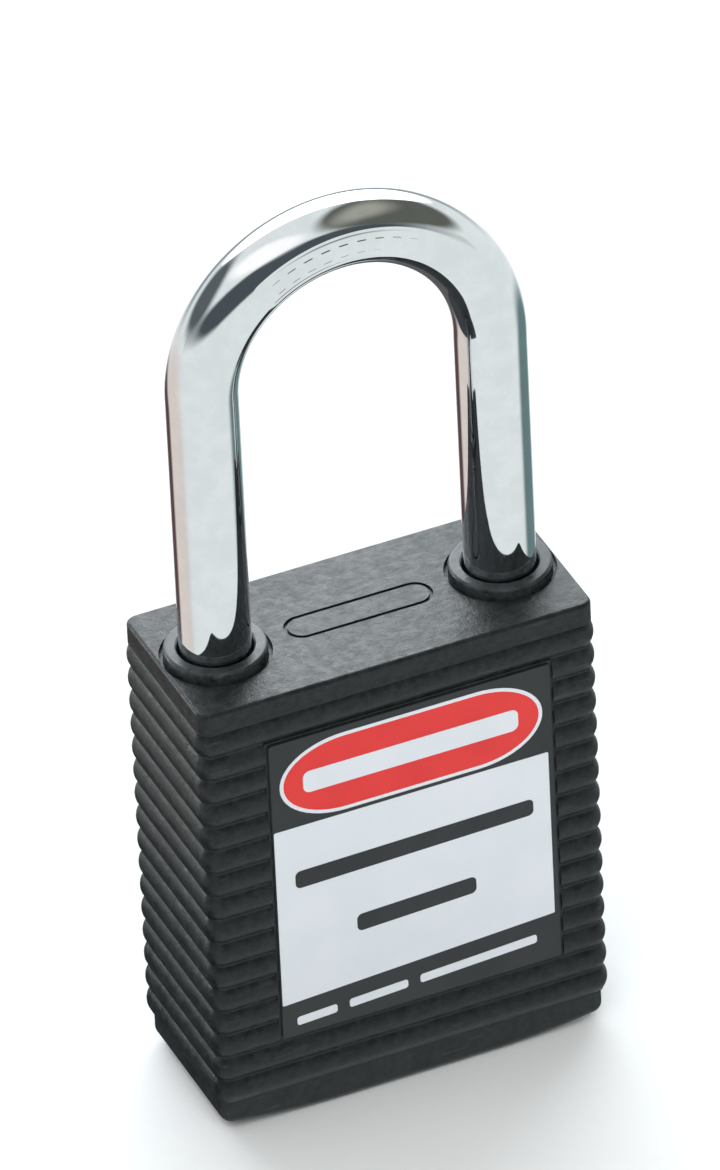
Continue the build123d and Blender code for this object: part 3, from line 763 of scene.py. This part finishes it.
def panel_axes(bearing, height):
    """Middle, sideways and upward directions of a panel that faces the object."""
    bearing, height = math.radians(bearing), math.radians(height)
    level_length = math.cos(height)
    middle = Vector((level_length * math.cos(bearing), level_length * math.sin(bearing), math.sin(height)))
    side = Vector((-math.sin(bearing), math.cos(bearing), 0.0))
    return middle, side, middle.cross(side)


def studio_sky():
    """A light tent with soft elliptical panels. The camera itself sees plain white instead."""
    world = bpy.data.worlds.new("studio")
    world.use_nodes = True
    bpy.context.scene.world = world
    g = Graph(world.node_tree)
    direction = g.node("ShaderNodeTexCoord").outputs["Generated"]

    def along(axis):
        dot = g.node("ShaderNodeVectorMath", {0: direction, 1: axis}, operation="DOT_PRODUCT")
        return dot.outputs["Value"]

    light = rgb(*ROOM_LIGHT)
    for _, bearing, height, half_width, half_height, soft, colour in PANELS:
        middle, side, upward = panel_axes(bearing, height)
        across = along(side / math.sin(math.radians(half_width)))
        upright = along(upward / math.sin(math.radians(half_height)))
        spot = g.node("ShaderNodeCombineXYZ", {0: across, 1: upright}).outputs[0]
        reach = g.node("ShaderNodeVectorMath", {0: spot}, operation="LENGTH").outputs["Value"]
        shape = g.remap(reach, 1.0 - soft, 1.0 + soft, 1.0, 0.0)
        shape = g.math("MULTIPLY", shape, g.math("GREATER_THAN", along(middle), 0.0))
        light = g.blend(shape, light, rgb(*colour))
    lit = g.node("ShaderNodeBackground", {"Color": light, "Strength": 1.0})
    seen = g.node("ShaderNodeBackground", {"Color": rgb(1.0, 1.0, 1.0), "Strength": 1.0})
    is_camera = g.node("ShaderNodeLightPath").outputs["Is Camera Ray"]
    mix = g.node("ShaderNodeMixShader", {0: is_camera, 1: lit.outputs[0], 2: seen.outputs[0]})
    output = g.node("ShaderNodeOutputWorld")
    g.tree.links.new(mix.outputs[0], output.inputs["Surface"])


studio_sky()


def softbox(name, aim, bearing, height, distance, size, power, tint, only=None):
    """A square softbox that faces a point from a direction, in degrees.

    It lights only the parts of a collection, or else everything, without showing in reflections.
    """
    light = bpy.data.lights.new(name, "AREA")
    light.shape = "SQUARE"
    light.size = size
    light.energy = power
    light.color = tint
    lamp = bpy.data.objects.new(name, light)
    bpy.context.scene.collection.objects.link(lamp)
    toward = panel_axes(bearing, height)[0]
    lamp.location = Vector(aim) + distance * toward
    lamp.rotation_euler = toward.to_track_quat("Z", "Y").to_euler()
    lamp.visible_camera = False
    if only:
        lamp.light_linking.receiver_collection = only
    else:
        lamp.visible_glossy = False


nylon_parts = bpy.data.collections.new("nylon_parts")
for node in ("outer_jacket", "bottom_cover", "collar_heel", "collar_toe"):
    nylon_parts.objects.link(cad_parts[node])

WHITE_LIGHT = (1.0, 1.0, 1.0)
COOL_LIGHT = (0.93, 0.99, 1.0)
KEY_SPOT = (0, 0, AIM_HEIGHT)
softbox("key", KEY_SPOT, -108, 42, distance=1.0, size=0.9, power=4.6, tint=WHITE_LIGHT)
# Two small softboxes for the sheen of the nylon: on the body's top and on the tops of the side ribs
TOP_SPOT = (-5 * MM, 6 * MM, jacket_high.z)
RIB_SPOT = (0, 0, 25 * MM)
softbox("top_sheen", TOP_SPOT, 67, 36, 0.075, 0.035, 0.021, COOL_LIGHT, nylon_parts)
softbox("rib_sheen", RIB_SPOT, 131, 10, 0.5, 0.1, 0.9, COOL_LIGHT, nylon_parts)
